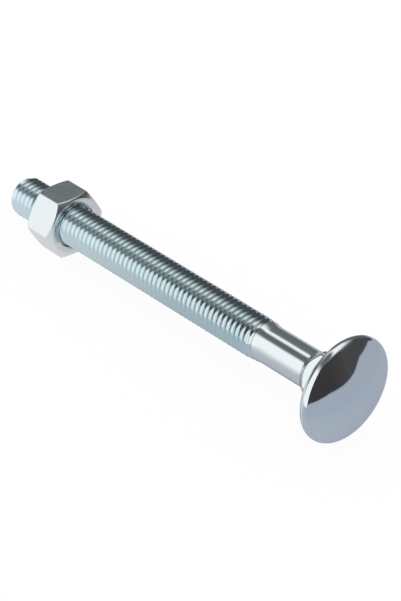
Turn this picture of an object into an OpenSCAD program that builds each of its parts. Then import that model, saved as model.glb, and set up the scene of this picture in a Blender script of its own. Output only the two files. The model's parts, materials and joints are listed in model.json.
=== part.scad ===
// Carriage bolt with its hexagon nut, lying at rest on a flat surface.
// Each piece is drawn upright, its axis on Z, with the seat under the head at height 0,
// the head below it and the tip above. lay_down() then turns the two to lie along +X.

/* [Bolt] */
// Length from the seat under the head to the tip
bolt_len = 130; // [80:1:156]

/* [Thread] */
// Diameter over the crests
crest_d = 11.8; // [9.8:0.05:14.1]
// Distance from one crest to the next
pitch = 1.75; // [1.5:0.05:2.1]
// Height above the seat where the thread begins to rise from the shank
thread_from = 25.9; // [18:0.1:60]
// Length over which the crests rise to their full diameter
runout_len = 4.6; // [1:0.1:8]
// Turn of the thread's start about the axis
thread_turn = 300; // [0:1:359]
// Length of the chamfer at the tip
tip_len = 1.2; // [0.6:0.1:2]

/* [Head] */
// Diameter of the head
head_d = 30.2; // [25:0.1:37]
// Height of the head from its seat to the top of the dome
head_h = 6.7; // [5.5:0.1:8.1]
// Radius between the rim and the dome
shoulder_r = 1.6; // [1:0.1:2.4]
// Height above the seat of the centre of that radius
shoulder_at = 1.5; // [1.2:0.1:2]
// Radius at the edge of the seat
seat_edge_r = 1; // [0.2:0.1:1]

/* [Square neck] */
// How much wider the neck is across its flats than the thread
neck_over = 0.4; // [0.1:0.05:1]
// How much the rounded corners take off the square's diagonal
neck_corner_cut = 1.65; // [0.6:0.05:2.4]
// Height of the full square, from the seat
neck_full = 6; // [3:0.1:9]
// Length of the cone that ends the corners
neck_taper = 3.4; // [1:0.1:5]
// Turn of the square about the axis
neck_turn = 45; // [0:5:85]

/* [Nut] */
// Width across the flats
nut_af = 18; // [15:0.1:22]
// Thickness of the nut
nut_h = 10.4; // [8:0.1:13]
// Length of the bolt that stands out past the nut
nut_from_tip = 13.4; // [2:0.1:40]
// How much smaller than the width across flats the corner chamfers leave each face
nut_face_cut = 1.1; // [0.6:0.1:1.5]
// Angle between the chamfer and the face
nut_chamfer_a = 30; // [15:1:30]
// How much wider than the thread the countersink in each face is
nut_sink_over = 1.4; // [0.6:0.1:1.9]
// Depth of the countersink
nut_sink_h = 0.7; // [0.4:0.1:1.2]
// Radial gap between the crests and the nut's bore
thread_gap = 0.05; // [0.02:0.01:0.1]

/* [Hidden] */
$fn = 96;
zinc = [0.78, 0.81, 0.84];
nut_zinc = [0.74, 0.77, 0.8];
// Length by which a cutting shape reaches past what it cuts
past = 1;

// Basic profile of a metric thread, from the height of its sharp triangle. The shank is
// the wire that the thread was rolled from, so it has the thread's pitch diameter.
sharp_h = pitch * sqrt(3) / 2;
crest_r = crest_d / 2;
root_r = crest_r - 5 / 8 * sharp_h;
shank_r = crest_r - 3 / 8 * sharp_h;

// One pitch of the thread: root, the two edges of the crest, and root again
flank_w = 5 / 16 * pitch;
crest_w = pitch / 8;
ridge_z = [0, flank_w, flank_w + crest_w, 2 * flank_w + crest_w];

// Steps to a turn of the helix, fewer on a long thread so that its facets stay in number.
// The groove is cut in over a quarter turn, and the ridge ends over half a turn.
thread_facets = 12000;
step_facets = 8;
thread_turns = (bolt_len - thread_from) / pitch;
turn_steps = min(24, floor(thread_facets / step_facets / thread_turns));
cut_steps = turn_steps / 4;
fade_steps = turn_steps / 2;

// The crests rise on a cone. Its first length, join, is turned with the shank, and there the
// threaded body lies a hair under the turned surface. The tip ends in a narrow land.
join = 0.2;
ring_r = shank_r - 0.01;
rise_slope = (crest_r - ring_r) / runout_len;
ridge_from = thread_from + 2 * join;
tip_land = 0.1;
last = floor((bolt_len - tip_land - ridge_from - ridge_z[3]) / pitch * turn_steps);

// The dome is a sphere that meets the shoulder radius without an edge.
head_r = head_d / 2;
shoulder_c = head_r - shoulder_r;
dome_c = (pow(shoulder_c, 2) + pow(shoulder_at, 2) - pow(head_h - shoulder_r, 2))
         / (2 * (head_h - shoulder_r - shoulder_at));
dome_r = head_h + dome_c;
dome_a = asin(shoulder_c / (dome_r - shoulder_r));
dome_steps = 24;
dome_step = dome_a / (dome_steps + 1);
edge_steps = 10;
shoulder_step = (90 - dome_a) / (edge_steps + 1);

neck_w = crest_d + neck_over;
neck_corner_r = (neck_w * sqrt(2) - neck_corner_cut) / 2;

nut_at = bolt_len - nut_from_tip - nut_h;
nut_corner_r = nut_af / sqrt(3);
nut_face_r = (nut_af - nut_face_cut) / 2;
bore_r = crest_r + thread_gap;
sink_r = (crest_d + nut_sink_over) / 2;

// The lower flat of the nut and the edge of the head's seat both touch the floor.
nut_edge = nut_face_cut / 2 * tan(nut_chamfer_a);
rest_rise = nut_af / 2 - head_r + seat_edge_r;
rest_run = nut_at + nut_h - nut_edge + seat_edge_r;
dip = atan2(rest_run, rest_rise) - acos(seat_edge_r / norm([rest_run, rest_rise]));
seat_z = (head_r - seat_edge_r) * cos(dip) + seat_edge_r * (1 - sin(dip));
head_x = dome_c * cos(dip) - dome_r;
tip_x = bolt_len * cos(dip) + root_r * sin(dip);
seat_x = -(head_x + tip_x) / 2;

// Turns a piece from upright to lying along +X, its tip low, centred over the floor
module lay_down() {
    translate([seat_x, 0, seat_z]) rotate([0, 90 + dip, 0]) children();
}

// Points along an arc about [x, y], from angle a to angle b
function arc(x, y, r, a, b, steps) =
    [for (i = [0:steps]) let (t = a + (b - a) * i / steps) [x + r * cos(t), y + r * sin(t)]];

// Half section of the revolved form: dome, shoulder, seat, shank and the start of the cone
module section() {
    polygon(concat(
        [[0, -head_h]],
        arc(0, dome_c, dome_r, dome_step - 90, dome_a - 90, dome_steps),
        arc(shoulder_c, -shoulder_at, shoulder_r, dome_a + shoulder_step - 90, 0, edge_steps),
        arc(head_r - seat_edge_r, -seat_edge_r, seat_edge_r, 0, 90, edge_steps),
        [[shank_r, 0], [shank_r, thread_from]],
        [[shank_r + rise_slope * join, thread_from + join], [0, thread_from + join]]
    ));
}

// Square neck with rounded corners, ended by a cone that runs on into the shank
module square_neck() {
    cone_h = neck_taper + join;
    slope = (neck_corner_r - shank_r) / neck_taper;
    rotate(neck_turn) intersection() {
        translate([-neck_w / 2, -neck_w / 2, 0]) cube([neck_w, neck_w, neck_full + cone_h]);
        union() {
            cylinder(r = neck_corner_r, h = neck_full);
            translate([0, 0, neck_full])
                cylinder(r1 = neck_corner_r, r2 = shank_r - slope * join, h = cone_h);
        }
    }
}

// A point of the thread: step n along the helix and place k in the ridge's profile, where
// the first and last place are in the grooves. The crests follow a cone that rises from the
// shank, the grooves are cut into it, and the chamfer of the tip cuts all down to the roots.
function thread_point(n, k) =
    let (
        a = 360 * n / turn_steps,
        z = ridge_from + pitch * n / turn_steps + ridge_z[k],
        blank = min(crest_r, ring_r + rise_slope * (z - thread_from)),
        into_cut = k == 0 ? n - turn_steps : n,
        depth = k == 0 || k == 3 ? min(1, max(0, into_cut / cut_steps)) : 0,
        grown = blank + (root_r - blank) * depth,
        left = min((bolt_len - z) / tip_len, (last - n) / fade_steps),
        r = min(grown, root_r + (crest_r - root_r) * max(0, left))
    ) [r * cos(a), r * sin(a), z];

// A ring of points at radius r and height z, which starts at the angle of step n
function ring(r, z, n) =
    [for (i = [0:turn_steps - 1]) let (a = 360 * (i + n) / turn_steps) [r * cos(a), r * sin(a), z]];

// Two triangles between four points, and triangles from one point to a line of points
function quad(a, b, c, d) = [[a, b, c], [a, c, d]];
function fan(tip, line) = [for (i = [0:len(line) - 2]) [tip, line[i], line[i + 1]]];

// Right-handed thread: a ridge with four points to a pitch, closed by a ring at each end
module thread() {
    rings_at = 4 * (last + 1);
    turn_before = last - turn_steps;
    function at(n, k) = 4 * n + k;
    function low(i) = rings_at + i % turn_steps;
    function high(i) = rings_at + turn_steps + i % turn_steps;
    points = concat(
        [for (n = [0:last]) for (k = [0:3]) thread_point(n, k)],
        ring(ring_r, thread_from, 0),
        ring(root_r, bolt_len, last)
    );
    ridge = [for (n = [0:last - 1]) for (k = [0:2])
        each quad(at(n, k), at(n, k + 1), at(n + 1, k + 1), at(n + 1, k))];
    root = [for (n = [0:turn_before - 1]) let (m = n + turn_steps)
        each quad(at(n, 3), at(m, 0), at(m + 1, 0), at(n + 1, 3))];
    first_turn = concat(
        [for (i = [0:turn_steps - 2]) each quad(low(i), at(i, 0), at(i + 1, 0), low(i + 1))],
        fan(low(turn_steps - 1), [
            at(turn_steps - 1, 0), at(turn_steps, 0),
            at(0, 3), at(0, 2), at(0, 1), at(0, 0), low(0)
        ])
    );
    last_turn = concat(
        [for (i = [1:turn_steps - 1]) let (n = turn_before + i)
            each quad(at(n, 3), high(i), high(i + 1), at(n + 1, 3))],
        fan(high(1), [
            at(turn_before + 1, 3), at(turn_before, 3),
            at(last, 0), at(last, 1), at(last, 2), at(last, 3), high(0)
        ])
    );
    ends = [
        [for (i = [0:turn_steps - 1]) low(i)],
        [for (i = [0:turn_steps - 1]) high(turn_steps - 1 - i)]
    ];
    rotate(thread_turn)
        polyhedron(points, concat(ridge, root, first_turn, last_turn, ends), convexity = 4);
}

module bolt() {
    color(zinc) lay_down() union() {
        rotate_extrude() section();
        square_neck();
        thread();
    }
}

// Revolved blank that gives the nut its chamfered corners
module nut_blank() {
    blank_r = nut_corner_r + past;
    blank_h = (blank_r - nut_face_r) * tan(nut_chamfer_a);
    rotate_extrude() polygon([
        [0, 0], [nut_face_r, 0], [blank_r, blank_h],
        [blank_r, nut_h - blank_h], [nut_face_r, nut_h], [0, nut_h]
    ]);
}

// Bore that clears the crests, with a countersink at each face
module nut_bore() {
    rotate_extrude() polygon([
        [0, -past], [sink_r, -past], [sink_r, 0], [bore_r, nut_sink_h],
        [bore_r, nut_h - nut_sink_h], [sink_r, nut_h], [sink_r, nut_h + past], [0, nut_h + past]
    ]);
}

module hex_nut() {
    color(nut_zinc) lay_down() translate([0, 0, nut_at]) difference() {
        intersection() {
            rotate(30) cylinder(r = nut_corner_r, h = nut_h, $fn = 6);
            nut_blank();
        }
        nut_bore();
    }
}

bolt();
hex_nut();
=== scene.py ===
# Carriage bolt with its hexagon nut, blue-white zinc plated, lying on a plain white floor.
import json
import math

import bpy
import numpy as np
from mathutils import Matrix, Vector


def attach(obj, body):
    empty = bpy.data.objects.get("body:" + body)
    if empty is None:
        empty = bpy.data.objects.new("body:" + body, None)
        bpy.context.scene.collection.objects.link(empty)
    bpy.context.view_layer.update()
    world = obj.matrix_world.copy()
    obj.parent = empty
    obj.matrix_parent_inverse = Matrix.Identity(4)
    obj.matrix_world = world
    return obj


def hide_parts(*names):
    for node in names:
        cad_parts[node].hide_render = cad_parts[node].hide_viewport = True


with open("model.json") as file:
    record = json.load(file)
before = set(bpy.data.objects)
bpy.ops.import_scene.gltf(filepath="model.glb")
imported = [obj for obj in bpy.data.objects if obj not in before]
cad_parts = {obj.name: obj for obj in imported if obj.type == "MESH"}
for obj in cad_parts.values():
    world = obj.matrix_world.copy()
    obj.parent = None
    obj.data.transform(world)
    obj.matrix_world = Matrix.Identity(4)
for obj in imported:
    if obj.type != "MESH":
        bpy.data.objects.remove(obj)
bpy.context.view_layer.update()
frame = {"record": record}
mounts = {mount["name"]: mount for mount in frame["record"]["mounts"]}
mm = 0.001
tau = 2 * math.pi

# Both pieces are worked out upright and in millimetres: the seat under the head is at height 0,
# the head below it and the tip above. layDown then puts them where the frame has them.
axisWay = np.array(mounts["head_seat"]["axis"])
floorWay = np.array([axisWay[2], 0, -axisWay[0]])
sideWay = np.array([0.0, 1.0, 0.0])
seatAt = np.array(mounts["head_seat"]["pos_m"]) * [1, 0, 1]
nutAt = float((np.array(mounts["nut_face"]["pos_m"]) * [1, 0, 1] - seatAt) @ axisWay) / mm


def layDown(points):
    return seatAt + mm * (points @ np.array([floorWay, sideWay, axisWay]))


# A smooth minimum: the sum less the root of difference squared plus rounding squared, halved
def softMin(a, b, rounding):
    return (a + b - np.sqrt((a - b) ** 2 + rounding ** 2)) / 2


def softMax(a, b, rounding):  # the same for the larger one, with the signs turned
    return -softMin(-np.asarray(a), -np.asarray(b), rounding)


def ramp(x):  # 0 below 0, 1 above 1, and a smooth cubic between
    t = np.clip(x, 0, 1)
    return t * t * (3 - 2 * t)


class Skin:  # the points and faces of one piece, gathered ring by ring
    def __init__(self):
        self.points, self.faces, self.count = [], [], 0

    def add(self, radius, angle, height):
        radius, angle, height = np.broadcast_arrays(radius, angle, height)
        spots = np.stack([radius * np.cos(angle), radius * np.sin(angle), height], -1)
        self.points.append(spots.reshape(-1, 3))
        index = self.count + np.arange(radius.size).reshape(radius.shape)
        self.count += radius.size
        return index

    def addFace(self, *corners):
        self.faces.append([int(corner) for corner in corners])

    def addFaces(self, *corners):  # one face for each place in the arrays of corners
        corners = np.broadcast_arrays(*corners)
        self.faces += np.stack(corners, -1).reshape(-1, len(corners)).tolist()

    def join(self, here, beyond):  # faces between two rows with as many points each
        self.addFaces(here[:-1], here[1:], beyond[1:], beyond[:-1])

    def addRings(self, index):  # rows are rings, one after the other along the outline
        low, high = index[:-1], index[1:]
        self.addFaces(low, np.roll(low, -1, 1), np.roll(high, -1, 1), high)

    def build(self, name, material):
        mesh = bpy.data.meshes.new(name)
        mesh.from_pydata(layDown(np.concatenate(self.points)).tolist(), [], self.faces)
        mesh.polygons.foreach_set("use_smooth", np.ones(len(mesh.polygons), bool))
        mesh.materials.append(material)
        mesh.update()
        piece = bpy.data.objects.new(name, mesh)
        bpy.context.scene.collection.objects.link(piece)
        return piece


thread = {
    "crest": 5.9,  # radius over the crests
    "pitch": 1.75,
    "crestHeight": 27.817,  # height of the first crest at crestAngle
    "crestAngle": 159.4,  # degrees about the axis, from the side that faces the floor
    "blank": 6.2,  # radius of the cylinder that the rounded crests are cut from
    "crestRound": 0.55,
    "rootRound": 0.42,
    "clearance": 0.06,  # between the bolt's thread and the nut's
}
sharp = thread["pitch"] * math.sqrt(3) / 2  # height of the thread's full triangle
rootRadius = thread["crest"] - 5 / 8 * sharp
pitchRadius = thread["crest"] - 3 / 8 * sharp


def crestAt(angle):  # height of the crest line, which climbs one pitch a turn
    turns = (angle - math.radians(thread["crestAngle"])) / tau
    return thread["crestHeight"] + thread["pitch"] * turns


# Radius of the thread's groove by the distance from the groove's middle: a round root, then a
# flank at 60 degrees to the axis that passes the root's radius an eighth of a pitch out
def grooveRadius(offset):
    flank = rootRadius + math.sqrt(3) * (offset - thread["pitch"] / 8)
    return softMax(flank, rootRadius, thread["rootRound"])


bolt = {
    "length": 130.0,  # from the seat under the head to the tip
    "headRadius": 15.1,
    "headHeight": 6.7,
    "shoulderRadius": 1.6,  # rounding between the dome and the rim
    "shoulderHeight": 1.5,  # from the seat to that rounding's centre
    "seatEdge": 1.5,  # rounding between the rim and the seat
    "seatRings": (12.5, 9.5),
    "domeRows": 42,
    "shoulderRows": 14,
    "seatEdgeRows": 8,
    "neckWidth": 12.2,
    "neckCorner": 7.8,
    "neckFull": 6.0,  # height to which the square has its full corners
    "neckTaper": 3.4,  # height of the cone that cuts the corners above
    "neckTurn": 45.0,
    "neckEdge": 0.25,
    "neckFoot": 0.35,
    "neckBlend": 0.12,
    "footRows": (0, 0.08, 0.2, 0.4),
    "neckRows": (0.7, 10.6, 0.22),  # from, to and step of the heights
    "shankRows": (11, 25.2, 2.0),
    "threadStart": -60.0,  # degrees, where the first groove begins
    "riseLength": 4.6,  # height over which the crests reach their full radius
    "cutTurn": 0.25,  # the turn over which the groove gets its depth
    "uncutSpare": 0.5,
    "columns": 90,  # a turn of the thread; the head and neck have twice as many
    "pitchRows": 14,
    "rowCrowd": 0.5,  # 0 spreads the rows of a pitch evenly, 1 crowds them most
    "leadIn": 0.25,  # from the ring that closes the shank to the thread's strip
    "tipChamfer": 1.2,
    "tipRadius": 4.6,
    "tipRound": 0.12,
    "endZone": 1.5,  # length before the tip in which the strip may turn onto the end face
    "endLean": 0.85,  # radius lost for each millimetre past the end
    "endRound": 0.15,
    "endFlat": 0.1,
    "endRings": (2.6, 1.3),
    "endDish": 0.02,
}


# The head is a profile turned round the axis: a sphere through the top, with its centre where it
# meets the shoulder's arc without an edge, then that arc, the seat edge's arc and the flat seat.
def boltHead(skin, angle):
    shoulder = bolt["headRadius"] - bolt["shoulderRadius"]
    fall = bolt["headHeight"] - bolt["shoulderRadius"]
    spare = fall - bolt["shoulderHeight"]
    domeCentre = (shoulder ** 2 + bolt["shoulderHeight"] ** 2 - fall ** 2) / (2 * spare)
    domeRadius = bolt["headHeight"] + domeCentre
    rim = math.asin(shoulder / (domeRadius - bolt["shoulderRadius"]))
    dome = np.linspace(0, rim, bolt["domeRows"])[1:]
    turn = np.linspace(rim, math.pi / 2, bolt["shoulderRows"])[1:]
    edge = np.linspace(0, math.pi / 2, bolt["seatEdgeRows"])
    edgeCentre = bolt["headRadius"] - bolt["seatEdge"]
    radius = np.concatenate([
        domeRadius * np.sin(dome),
        shoulder + bolt["shoulderRadius"] * np.sin(turn),
        edgeCentre + bolt["seatEdge"] * np.cos(edge),
        bolt["seatRings"],
    ])
    height = np.concatenate([
        domeCentre - domeRadius * np.cos(dome),
        -bolt["shoulderHeight"] - bolt["shoulderRadius"] * np.cos(turn),
        -bolt["seatEdge"] + bolt["seatEdge"] * np.sin(edge),
        np.zeros(len(bolt["seatRings"])),
    ])
    top = skin.add(0.0, 0.0, -bolt["headHeight"])
    rows = skin.add(radius[:, None], angle[None, :], height[:, None])
    skin.addFaces(top, np.roll(rows[0], -1), rows[0])
    skin.addRings(rows)
    return rows[-1]


# Outline of the neck: a square, which is half its width over the larger of cosine and sine, with
# its corners cut by a cylinder and the cone above that, and never inside the shank
def neckRadius(angle, height):
    turned = angle - math.radians(bolt["neckTurn"])
    across = np.maximum(abs(np.cos(turned)), abs(np.sin(turned)))
    slope = (bolt["neckCorner"] - pitchRadius) / bolt["neckTaper"]
    corner = bolt["neckCorner"] - slope * np.maximum(height - bolt["neckFull"], 0)
    square = softMin(bolt["neckWidth"] / 2 / across, corner, bolt["neckEdge"])
    return softMax(square, pitchRadius, bolt["neckBlend"])


# The neck and shank are rings of that outline, with a foot that widens to the seat as a cubic.
def boltNeck(skin, angle, seatRow):
    height = np.concatenate([bolt["footRows"], np.arange(*bolt["neckRows"]), np.arange(*bolt["shankRows"])])
    radius = neckRadius(angle[None, :], height[:, None])
    foot = bolt["neckFoot"] * (1 - ramp(height / bolt["neckFoot"]))[:, None]
    rows = skin.add(radius + foot, angle[None, :], height[:, None])
    skin.addRings(np.stack([seatRow, rows[0]]))
    skin.addRings(rows)
    return rows[-1]


# The threaded length is one strip wound round the bolt: n counts the columns along the helix and
# each column has its rows across one pitch, from one groove's middle to the next. The radius is
# the smooth minimum of the blank, a cone that becomes a cylinder, and of the groove.
def boltThread(skin, shankRow):
    columns, pitch = bolt["columns"], thread["pitch"]
    share = np.arange(bolt["pitchRows"]) / bolt["pitchRows"]
    # A sine crowds the rows at the root and at the crest.
    across = pitch * (share - bolt["rowCrowd"] * np.sin(2 * tau * share) / (2 * tau))
    start = math.radians(bolt["threadStart"])
    low = crestAt(start) - pitch / 2
    last = int((bolt["length"] - low) / pitch * columns)
    n = np.arange(last + 1)[:, None]
    angle = start + tau * n / columns
    height = low + pitch * n / columns + across[None, :]
    risen = np.clip((height - low) / bolt["riseLength"], 0, 1)
    blank = pitchRadius + (thread["blank"] - pitchRadius) * risen
    # The groove before a ridge begins one turn after the groove behind it.
    travelled = np.where(across[None, :] < pitch / 2, n - columns, n)
    cut = np.clip(travelled / (columns * bolt["cutTurn"]), 0, 1)
    offset = np.minimum(across, pitch - across)[None, :]
    groove = grooveRadius(offset) + (1 - cut) * (thread["crest"] - rootRadius + bolt["uncutSpare"])
    radius = softMin(blank, groove, thread["crestRound"])
    # Before the groove is cut the strip is the plain blank, so no rounding shows there.
    radius = np.where(travelled <= 0, blank, radius)
    # The chamfer cuts the ridges, and what lies past the end plane turns onto the end face.
    past = height - bolt["length"]
    chamfer = bolt["tipRadius"] - past * (thread["crest"] - bolt["tipRadius"]) / bolt["tipChamfer"]
    radius = softMin(radius, chamfer, bolt["tipRound"])
    nearEnd = past > -bolt["endZone"]
    endCone = bolt["tipRadius"] - bolt["endLean"] * past
    radius = np.where(nearEnd, softMin(radius, endCone, bolt["endRound"]), radius)
    height = np.where(nearEnd, softMin(height, bolt["length"], bolt["endFlat"]), height)
    strip = skin.add(radius, angle, height)
    skin.join(strip[:, :-1], strip[:, 1:])
    # The strip's last row joins the first row of the turn after it.
    skin.join(strip[:-columns, -1], strip[columns:, 0])
    # A ring at each end closes the strip, with one face that takes in the strip's whole edge.
    ringAngle = start + tau * np.arange(columns) / columns
    lowRing = skin.add(pitchRadius, ringAngle, low - bolt["leadIn"])
    skin.join(lowRing, strip[:columns, 0])
    skin.addFace(lowRing[-1], lowRing[0], *strip[0], strip[columns, 0], strip[columns - 1, 0])
    endAngle = start + tau * (last + np.arange(columns)) / columns
    endRadius = np.array(bolt["endRings"])
    endHeight = bolt["length"] - np.array([0, bolt["endDish"]])
    ends = skin.add(endRadius[:, None], endAngle[None, :], endHeight[:, None])
    before = last - columns
    skin.join(strip[before + 1:, -1], np.append(ends[0, 1:], ends[0, 0]))
    skin.addFace(strip[before, -1], strip[before + 1, -1], ends[0, 1], ends[0, 0], *strip[last, ::-1])
    skin.addRings(ends)
    skin.addFace(*ends[-1])
    # The head's rings have two columns for each column of the thread.
    pairs = shankRow.reshape(-1, 2)
    skin.addFaces(pairs[:, 0], pairs[:, 1], np.roll(pairs[:, 0], -1), np.roll(lowRing, -1), lowRing)


def makeBolt(material):
    skin = Skin()
    start = math.radians(bolt["threadStart"])
    angle = start + tau * np.arange(2 * bolt["columns"]) / (2 * bolt["columns"])
    seatRow = boltHead(skin, angle)
    shankRow = boltNeck(skin, angle, seatRow)
    boltThread(skin, shankRow)
    return skin.build("platedBolt", material)


nut = {
    "acrossFlats": 18.0,
    "thickness": 10.4,
    "faceRadius": 8.45,
    "chamfer": 30.0,  # degrees between the chamfer and the face
    "cornerRound": 0.14,
    "edge": 0.22,  # reach of the rounding to both sides of an edge
    "halfSide": 28,  # columns from a corner to the middle of a flat
    "columnShares": (0.2, 0.8),  # of the count and of its cube in a column's angle
    "boreRows": 150,
    "boreRadius": 5.06,
    "boreRound": 0.12,
    "rootSpare": 0.1,
    "rootRound": 0.11,
    "mouthDepth": 0.9,  # where the internal thread begins
    "mouthRun": 0.4,
    "sinkRadius": 6.6,
    "sinkAngle": 45.0,  # degrees between the countersink and the face
    "sinkRound": 0.1,
    "flatWeight": 80,
}


# Rounds each inner point of an outline with a quadratic curve that starts and ends the given
# distance away from it; the first and the last point stay.
def roundedOutline(corners, reach, steps=6):
    rows = [corners[0]]
    t = np.linspace(0, 1, steps)[:, None, None]
    for before, corner, after in zip(corners, corners[1:], corners[2:]):
        a = corner + reach * (before - corner) / np.linalg.norm(before - corner, axis=-1, keepdims=True)
        b = corner + reach * (after - corner) / np.linalg.norm(after - corner, axis=-1, keepdims=True)
        rows += list((1 - t) ** 2 * a + 2 * t * (1 - t) * corner + t ** 2 * b)
    return np.array(rows + [corners[-1]])


# The nut is a closed profile carried round the axis. Outside, its radius is the flat's distance
# over the cosine of the angle from the flat's middle, cut by a chamfer cone at each face. Inside
# it has the bolt's own thread with a clearance, cut off at the bore's radius and at both mouths.
def makeNut(material):
    skin = Skin()
    # Columns crowd towards the corners.
    count = np.arange(-nut["halfSide"], nut["halfSide"]) / nut["halfSide"]
    plainShare, cubeShare = nut["columnShares"]
    fromCorner = math.pi / 6 * (plainShare * count + cubeShare * count ** 3)
    corner = math.pi / 6 + tau / 6 * np.arange(6)
    angle = (corner[:, None] + fromCorner[None, :]).ravel()
    flat = nut["acrossFlats"] / 2
    swing = np.tile(fromCorner, 6)
    flatBefore = flat / np.cos(math.pi / 6 + swing)
    flatAfter = flat / np.cos(math.pi / 6 - swing)
    hexagon = softMin(flatBefore, flatAfter, nut["cornerRound"])
    chamferDepth = (hexagon - nut["faceRadius"]) * math.tan(math.radians(nut["chamfer"]))
    full = np.ones_like(angle)
    high = nut["thickness"]
    corners = (
        (nut["sinkRadius"], 0), (nut["faceRadius"], 0), (hexagon, chamferDepth),
        (hexagon, high - chamferDepth), (nut["faceRadius"], high), (nut["sinkRadius"], high),
    )
    outline = np.stack([np.stack([r * full, h * full], -1) for r, h in corners])
    outline = roundedOutline(outline, nut["edge"])
    outer = skin.add(outline[..., 0], angle, nutAt + outline[..., 1])
    height = np.linspace(high, 0, nut["boreRows"])[1:-1, None]
    place = (nutAt + height - crestAt(angle)[None, :]) % thread["pitch"]
    offset = np.abs(thread["pitch"] / 2 - place)
    root = thread["crest"] + nut["rootSpare"]
    mate = softMin(root, grooveRadius(offset), nut["rootRound"]) + thread["clearance"]
    depth = np.minimum(height, high - height)
    sink = nut["sinkRadius"] - depth / math.tan(math.radians(nut["sinkAngle"]))
    mouth = root + thread["clearance"]
    threadIn = ramp((depth - nut["mouthDepth"]) / nut["mouthRun"])
    threaded = mouth + (softMax(mate, nut["boreRadius"], nut["boreRound"]) - mouth) * threadIn
    inner = skin.add(softMax(threaded, sink, nut["sinkRound"]), angle, nutAt + height)
    skin.addRings(np.concatenate([outer, inner, outer[:1]]))
    piece = skin.build("platedNut", material)
    evenFlats = piece.modifiers.new("evenFlats", "WEIGHTED_NORMAL")
    evenFlats.weight = nut["flatWeight"]
    return piece


def addNode(tree, kind, inputs=None, **settings):
    node = tree.nodes.new(kind)
    for key, value in settings.items():
        setattr(node, key, value)
    for key, value in (inputs or {}).items():
        if isinstance(value, bpy.types.NodeSocket):
            tree.links.new(value, node.inputs[key])
        else:
            node.inputs[key].default_value = value
    return node


def emptyTree(owner):  # the node tree of a material or a world, with nothing in it yet
    owner.use_nodes = True
    owner.node_tree.nodes.clear()
    return owner.node_tree


def mathNode(tree, operation, a, b=0.0):
    return addNode(tree, "ShaderNodeMath", {0: a, 1: b}, operation=operation).outputs[0]


def oneLess(tree, value):  # 1 less the value
    return mathNode(tree, "SUBTRACT", 1.0, value)


def along(tree, vector, way):  # how far a vector reaches along a way
    product = addNode(tree, "ShaderNodeVectorMath", {0: vector, 1: way}, operation="DOT_PRODUCT")
    return product.outputs["Value"]


def step(tree, value, low, high):  # 0 to 1 between two values, smooth
    inputs = {"Value": value, "From Min": low, "From Max": high}
    return addNode(tree, "ShaderNodeMapRange", inputs, interpolation_type="SMOOTHSTEP").outputs["Result"]


def band(tree, value, rising, falling):  # 1 between a rising and a falling range, 0 outside
    below = oneLess(tree, step(tree, value, *falling))
    return mathNode(tree, "MULTIPLY", step(tree, value, *rising), below)


def noise(tree, place, scale, detail):
    inputs = {"Vector": place, "Scale": scale, "Detail": detail}
    return addNode(tree, "ShaderNodeTexNoise", inputs).outputs["Fac"]


def spread(tree, value, low, high):  # a noise's middle part, 0.3 to 0.7, spread from low to high
    return addNode(tree, "ShaderNodeMapRange", {
        "Value": value, "From Min": 0.3, "From Max": 0.7, "To Min": low, "To Max": high,
    }).outputs["Result"]


def blendColours(tree, factor, a, b):
    mix = addNode(tree, "ShaderNodeMix", {"Factor": factor}, data_type="RGBA")
    for socket, value in ((mix.inputs[6], a), (mix.inputs[7], b)):
        if isinstance(value, bpy.types.NodeSocket):
            tree.links.new(value, socket)
        else:
            socket.default_value = (*value, 1)
    return mix.outputs[2]


rampPerMetre = 5.0  # a ramp runs over 200 mm, with place 0 in its middle


# A ramp of stops: the place in metres, a colour and a number that goes into its alpha
def rampAlong(tree, place, stops):
    factor = mathNode(tree, "ADD", mathNode(tree, "MULTIPLY", place, rampPerMetre), 0.5)
    ramped = addNode(tree, "ShaderNodeValToRGB", {"Fac": factor})
    elements = ramped.color_ramp.elements
    while len(elements) < len(stops):
        elements.new(0.5)
    for element, (at, colour, number) in zip(elements, stops):
        element.position = 0.5 + rampPerMetre * at
        element.color = (*colour, number)
    return ramped


# Zinc plating: a bright metal whose clear passivation leaves faint blue, green and lilac films,
# over steel with a fine grain and shallow waves
def zincPlating(name, look):
    material = bpy.data.materials.new(name)
    tree = emptyTree(material)
    axis = tuple(axisWay)
    place = addNode(tree, "ShaderNodeTexCoord").outputs["Object"]
    film = noise(tree, place, look["filmScale"], 2.0)
    drift = spread(tree, film, -look["drift"], look["drift"])
    tint = rampAlong(tree, mathNode(tree, "ADD", along(tree, place, axis), drift), look["films"])
    grain = noise(tree, place, look["grainScale"], 2.0)
    roughness = mathNode(tree, "MULTIPLY", tint.outputs["Alpha"], spread(tree, grain, *look["uneven"]))
    waves = noise(tree, place, look["waveScale"], 1.0)
    soft = addNode(tree, "ShaderNodeBump", {
        "Height": waves, "Distance": look["waveHeight"], "Strength": 1.0,
    })
    fine = addNode(tree, "ShaderNodeBump", {
        "Height": grain, "Distance": look["grainHeight"], "Strength": 1.0, "Normal": soft.outputs["Normal"],
    })
    colour = tint.outputs["Color"]
    # Painted shade: a band along the bolt takes a darker colour, for the shaded edge of the rim.
    if "paintedRimShade" in look:
        onPaintedRimShade = band(tree, along(tree, place, axis), *look["paintedRimShade"])
        colour = blendColours(tree, onPaintedRimShade, colour, look["paintedRimShadeColour"])
    shader = addNode(tree, "ShaderNodeBsdfPrincipled", {
        "Base Color": colour, "Metallic": 1.0, "Specular Tint": look["grazing"],
        "Roughness": roughness, "Normal": fine.outputs["Normal"],
    })
    addNode(tree, "ShaderNodeOutputMaterial", {"Surface": shader.outputs["BSDF"]})
    return material


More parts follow.
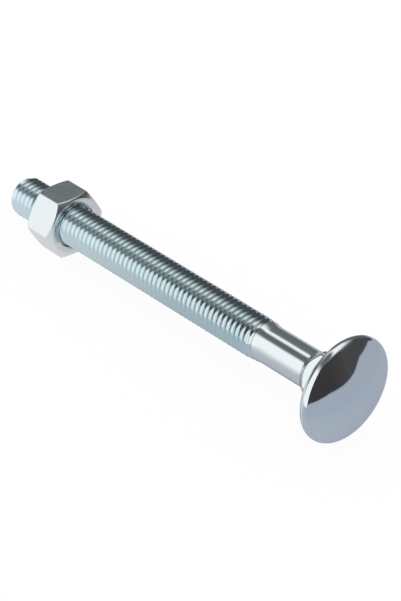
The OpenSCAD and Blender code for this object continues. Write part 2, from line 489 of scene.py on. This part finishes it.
boltLook = {
    # metres along the bolt from the frame's middle, and the plating's colour and roughness there
    "films": (
        (-0.060, (0.78, 0.81, 0.84), 0.07),
        (-0.054, (0.77, 0.82, 0.83), 0.09),
        (-0.036, (0.77, 0.82, 0.83), 0.09),
        (-0.030, (0.61, 0.75, 0.775), 0.16),
        (0.03, (0.61, 0.75, 0.78), 0.16),
        (0.06, (0.64, 0.76, 0.82), 0.16),
    ),
    "grazing": (0.84, 0.8, 0.84, 1),
    # painted shade: a duller, darker line round the rim, where the rim's edge lies in shade; where it
    # begins and where it ends, in metres along the bolt
    "paintedRimShade": ((-0.0642, -0.0637), (-0.0637, -0.0632)),
    "paintedRimShadeColour": (0.6, 0.61, 0.6),
    "uneven": (0.95, 1.05),
    "drift": 0.004,
    "filmScale": 70.0,
    "grainScale": 2600.0,
    "grainHeight": 0.0000005,
    "waveScale": 160.0,
    "waveHeight": 0.00003,
}
nutLook = {
    "films": (
        (0.038, (0.79, 0.815, 0.825), 0.23),
        (0.046, (0.76, 0.80, 0.82), 0.2),
        (0.056, (0.78, 0.82, 0.83), 0.23),
    ),
    "grazing": (0.94, 0.92, 0.94, 1),
    "uneven": (0.94, 1.06),
    "drift": 0.03,
    "filmScale": 160.0,
    "grainScale": 2200.0,
    "grainHeight": 0.0000003,
    "waveScale": 220.0,
    "waveHeight": 0.00002,
}

studio = {
    "cameraPlace": (-389.04, 346.37, 389.24),  # millimetres, in the frame
    "cameraTurn": -42.295,  # degrees from +X of the way it looks
    "cameraFall": 36.189,
    "cameraRoll": 0.973,
    "focalPixels": 2373.9,
    "longSidePixels": 601.0,
    "sensor": 36.0,
}


def addCamera():
    turn, fall, roll = (math.radians(studio[key]) for key in ("cameraTurn", "cameraFall", "cameraRoll"))
    ahead = Vector((math.cos(fall) * math.cos(turn), math.cos(fall) * math.sin(turn), -math.sin(fall)))
    right = ahead.cross(Vector((0, 0, 1))).normalized()
    right = Matrix.Rotation(-roll, 3, ahead) @ right
    up = right.cross(ahead)
    turned = Matrix((right, up, -ahead)).transposed().to_4x4()
    data = bpy.data.cameras.new("camera")
    data.sensor_width = studio["sensor"]
    data.lens = studio["focalPixels"] / studio["longSidePixels"] * studio["sensor"]
    data.clip_start, data.clip_end = 0.01, 20
    camera = bpy.data.objects.new("camera", data)
    camera.matrix_world = Matrix.Translation(Vector(studio["cameraPlace"]) * mm) @ turned
    bpy.context.scene.collection.objects.link(camera)
    bpy.context.scene.camera = camera


# What the metal mirrors above the floor: a white tent with a long dark gap in its roof, left of
# the middle, a dim end beyond the bolt's tip and an open dark side in front of its head. Angles
# are in degrees, turns are counted about Z from openSide, and the gap is given by the tangent
# of its lean to +Y. Each pair is where a part begins to show and where it shows in full, or the
# same where it ends.
tent = {
    "white": (1.08, 1.11, 1.12),
    "openSide": -120,
    "openFrom": (-102, -84),
    "fromLean": 0.55,  # degrees by which that side moves in for each degree of height
    "openTo": (111, 121),
    "toLean": 0.45,
    "openRoof": (36, 68),
    "openDark": (0.072, 0.07, 0.072),
    # towards its first side the opening is paler high up, and the roof begins lower
    "highPale": (0.39, 0.417, 0.422),
    "highRoof": (44, 56),
    "highFrom": (15, 42),
    "highTo": (-35, -5),
    "openPale": (0.155, 0.17, 0.175),
    "palerFrom": (15, 65),
    "gapFrom": (-0.12, 0.07),
    "gapTo": (0.45, 0.95),
    "gapDark": (0.14, 0.155, 0.16),
    "endFrom": (104, 114),
    "endTo": (144, 154),
    "endRoof": (40, 55),
    "endDark": (0.2, 0.22, 0.23),
}


def addWorld():
    world = bpy.data.worlds.new("studioLight")
    tree = emptyTree(world)
    way = addNode(tree, "ShaderNodeTexCoord").outputs["Generated"]
    turned = {"Vector": way, "Angle": math.radians(-tent["openSide"])}
    side = addNode(tree, "ShaderNodeVectorRotate", turned, rotation_type="Z_AXIS").outputs[0]
    split = addNode(tree, "ShaderNodeSeparateXYZ", {0: side})
    turn = mathNode(tree, "ARCTAN2", split.outputs["Y"], split.outputs["X"])
    turn = mathNode(tree, "MULTIPLY", turn, 180 / math.pi)
    rise = mathNode(tree, "ARCSINE", split.outputs["Z"])
    rise = mathNode(tree, "MULTIPLY", rise, 180 / math.pi)

    # The opening: both its sides lean inwards as they rise.
    up = mathNode(tree, "MAXIMUM", rise, 0.0)
    firstSide = mathNode(tree, "SUBTRACT", turn, mathNode(tree, "MULTIPLY", up, tent["fromLean"]))
    lastSide = mathNode(tree, "ADD", turn, mathNode(tree, "MULTIPLY", up, tent["toLean"]))
    opening = oneLess(tree, step(tree, lastSide, *tent["openTo"]))
    opening = mathNode(tree, "MULTIPLY", step(tree, firstSide, *tent["openFrom"]), opening)
    opening = mathNode(tree, "MULTIPLY", opening, oneLess(tree, step(tree, rise, *tent["openRoof"])))
    opened = blendColours(tree, step(tree, turn, *tent["palerFrom"]), tent["openDark"], tent["openPale"])
    nearFirst = oneLess(tree, step(tree, turn, *tent["highTo"]))
    high = mathNode(tree, "MULTIPLY", step(tree, rise, *tent["highFrom"]), nearFirst)
    opened = blendColours(tree, high, opened, tent["highPale"])
    roofed = mathNode(tree, "MULTIPLY", step(tree, rise, *tent["highRoof"]), nearFirst)
    opening = mathNode(tree, "MULTIPLY", opening, oneLess(tree, roofed))

    # The dim end, the gap in the roof and the opening are laid over the white in that order.
    lean = mathNode(tree, "MAXIMUM", split.outputs["Z"], 0.02)
    lean = mathNode(tree, "DIVIDE", along(tree, way, (0, 1, 0)), lean)
    end = band(tree, turn, tent["endFrom"], tent["endTo"])
    end = mathNode(tree, "MULTIPLY", end, oneLess(tree, step(tree, rise, *tent["endRoof"])))
    room = blendColours(tree, end, tent["white"], tent["endDark"])
    room = blendColours(tree, band(tree, lean, tent["gapFrom"], tent["gapTo"]), room, tent["gapDark"])
    room = blendColours(tree, opening, room, opened)
    light = addNode(tree, "ShaderNodeLightPath")
    seen = blendColours(tree, light.outputs["Is Glossy Ray"], (1, 1, 1), room)
    glow = addNode(tree, "ShaderNodeBackground", {"Color": seen, "Strength": 1.0})
    addNode(tree, "ShaderNodeOutputWorld", {"Surface": glow.outputs[0]})
    bpy.context.scene.world = world


# The floor that shows is plain white with a faint soft shadow. What the metal mirrors of it is
# a sheet of its own, which ends in front of the head. It holds a painted reflection of the floor
# with painted shade: darker near the bolt, a painted shadow under it, and paler away from the bolt.
floorLook = {
    "size": 3.0,
    "white": (1.0, 1.0, 1.0),
    "glow": 0.93,
    # metres along the floor, the colour there, darker near the bolt as painted shade, and the brightness
    # under the bolt, a painted shadow
    "near": (
        (-0.09, (0.42, 0.475, 0.545), 1.0),
        (-0.056, (0.50, 0.565, 0.63), 1.0),
        (-0.048, (0.52, 0.585, 0.645), 0.6),
        (-0.033, (0.545, 0.585, 0.635), 0.6),
        (-0.024, (0.56, 0.585, 0.63), 0.85),
        (0.0, (0.60, 0.585, 0.615), 0.85),
        (0.04, (0.63, 0.62, 0.64), 0.9),
        (0.055, (0.63, 0.625, 0.64), 1.0),
    ),
    "paintedShadowFrom": (-0.014, -0.005),  # metres along Y, the two sides of the painted shadow that lies under the bolt
    "paintedShadowTo": (-0.001, 0.007),
    "far": (1.0, 1.03, 1.05),
    "farWay": (0.6, 0.8, 0.0),
    "farReach": 0.06,
    "edgeWay": 140.2,  # degrees, the way from the head to the sheet's edge
    # millimetres along the edge and out to it, which is a little wavy
    "edge": (
        (-1500, 50), (20, 54.5), (50, 62), (72, 51), (100, 48.5),
        (150, 49), (205, 54), (320, 71), (1500, 180),
    ),
    "drop": 0.00002,  # metres by which the mirrored sheet lies under the floor
}


def addSheet(name, corners, material):
    mesh = bpy.data.meshes.new(name)
    mesh.from_pydata(corners, [], [tuple(range(len(corners)))])
    mesh.materials.append(material)
    sheet = bpy.data.objects.new(name, mesh)
    bpy.context.scene.collection.objects.link(sheet)
    return sheet


def showInGlossOnly(sheet):
    sheet.visible_camera = sheet.visible_diffuse = sheet.visible_shadow = False


def addFloor():
    material = bpy.data.materials.new("whiteFloor")
    tree = emptyTree(material)
    matt = addNode(tree, "ShaderNodeBsdfDiffuse", {"Color": (*floorLook["white"], 1)})
    glow = addNode(tree, "ShaderNodeEmission", {"Color": (1, 1, 1, 1), "Strength": 1.0})
    mixed = {0: floorLook["glow"], 1: matt.outputs[0], 2: glow.outputs[0]}
    plain = addNode(tree, "ShaderNodeMixShader", mixed)
    addNode(tree, "ShaderNodeOutputMaterial", {"Surface": plain.outputs[0]})
    half = floorLook["size"] / 2
    corners = [(-half, -half, 0), (half, -half, 0), (half, half, 0), (-half, half, 0)]
    addSheet("floor", corners, material).visible_glossy = False


def addMirroredSheet():
    material = bpy.data.materials.new("mirroredSheet")
    tree = emptyTree(material)
    place = addNode(tree, "ShaderNodeTexCoord").outputs["Object"]
    # Painted shade: the mirrored floor's colour is darker close to the bolt.
    near = rampAlong(tree, along(tree, place, (1, 0, 0)), floorLook["near"])
    # The share of the far colour is 1 less e to the power of minus the distance over farReach.
    away = mathNode(tree, "MAXIMUM", along(tree, place, floorLook["farWay"]), 0.0)
    away = mathNode(tree, "EXPONENT", mathNode(tree, "DIVIDE", away, -floorLook["farReach"]))
    colour = blendColours(tree, oneLess(tree, away), near.outputs["Color"], floorLook["far"])
    # Painted shadow: in a band under the bolt, the sheet glows only as brightly as the near stops'
    # brightness.
    under = band(tree, along(tree, place, (0, 1, 0)), floorLook["paintedShadowFrom"], floorLook["paintedShadowTo"])
    shade = mathNode(tree, "MULTIPLY", under, oneLess(tree, near.outputs["Alpha"]))
    glow = addNode(tree, "ShaderNodeEmission", {"Color": colour, "Strength": oneLess(tree, shade)})
    addNode(tree, "ShaderNodeOutputMaterial", {"Surface": glow.outputs[0]})
    edgeWay = math.radians(floorLook["edgeWay"])
    ahead = np.array([math.cos(edgeWay), math.sin(edgeWay)])
    across = np.array([-ahead[1], ahead[0]])
    half = floorLook["size"] / 2 / mm
    outline = np.array([*floorLook["edge"], (half, -half), (-half, -half)])
    spots = seatAt[:2] + mm * (outline @ np.array([across, ahead]))
    corners = [(x, y, -floorLook["drop"]) for x, y in spots.tolist()]
    showInGlossOnly(addSheet("mirroredSheet", corners, material))


# A dark card that stands near the head. It fills a large part of what the dome mirrors and
# hides little from the thread, which is further away.
card = {
    "from": (-0.12, 0.05),  # metres, X and Y of its two ends
    "to": (-0.178, -0.048),
    "low": -0.08,
    "high": 0.09,
    "dark": (0.046, 0.044, 0.045),
    "pale": (0.066, 0.059, 0.06),  # towards its far end
    "palerFrom": (-0.005, 0.046),  # metres along -Y
}


def addCard():
    material = bpy.data.materials.new("darkCard")
    tree = emptyTree(material)
    place = addNode(tree, "ShaderNodeTexCoord").outputs["Object"]
    far = step(tree, along(tree, place, (0, -1, 0)), *card["palerFrom"])
    colour = blendColours(tree, far, card["dark"], card["pale"])
    glow = addNode(tree, "ShaderNodeEmission", {"Color": colour})
    addNode(tree, "ShaderNodeOutputMaterial", {"Surface": glow.outputs[0]})
    a, b = card["from"], card["to"]
    corners = [(*a, card["low"]), (*b, card["low"]), (*b, card["high"]), (*a, card["high"])]
    showInGlossOnly(addSheet("darkCard", corners, material))


print("studio")
addCamera()
addWorld()
addFloor()
addMirroredSheet()
addCard()
bpy.context.scene.view_settings.view_transform = "Standard"

print("bolt")
boltPiece = makeBolt(zincPlating("boltZinc", boltLook))
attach(boltPiece, "bolt")
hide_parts("bolt")

print("nut")
nutPiece = makeNut(zincPlating("nutZinc", nutLook))
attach(nutPiece, "nut")
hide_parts("hex_nut")
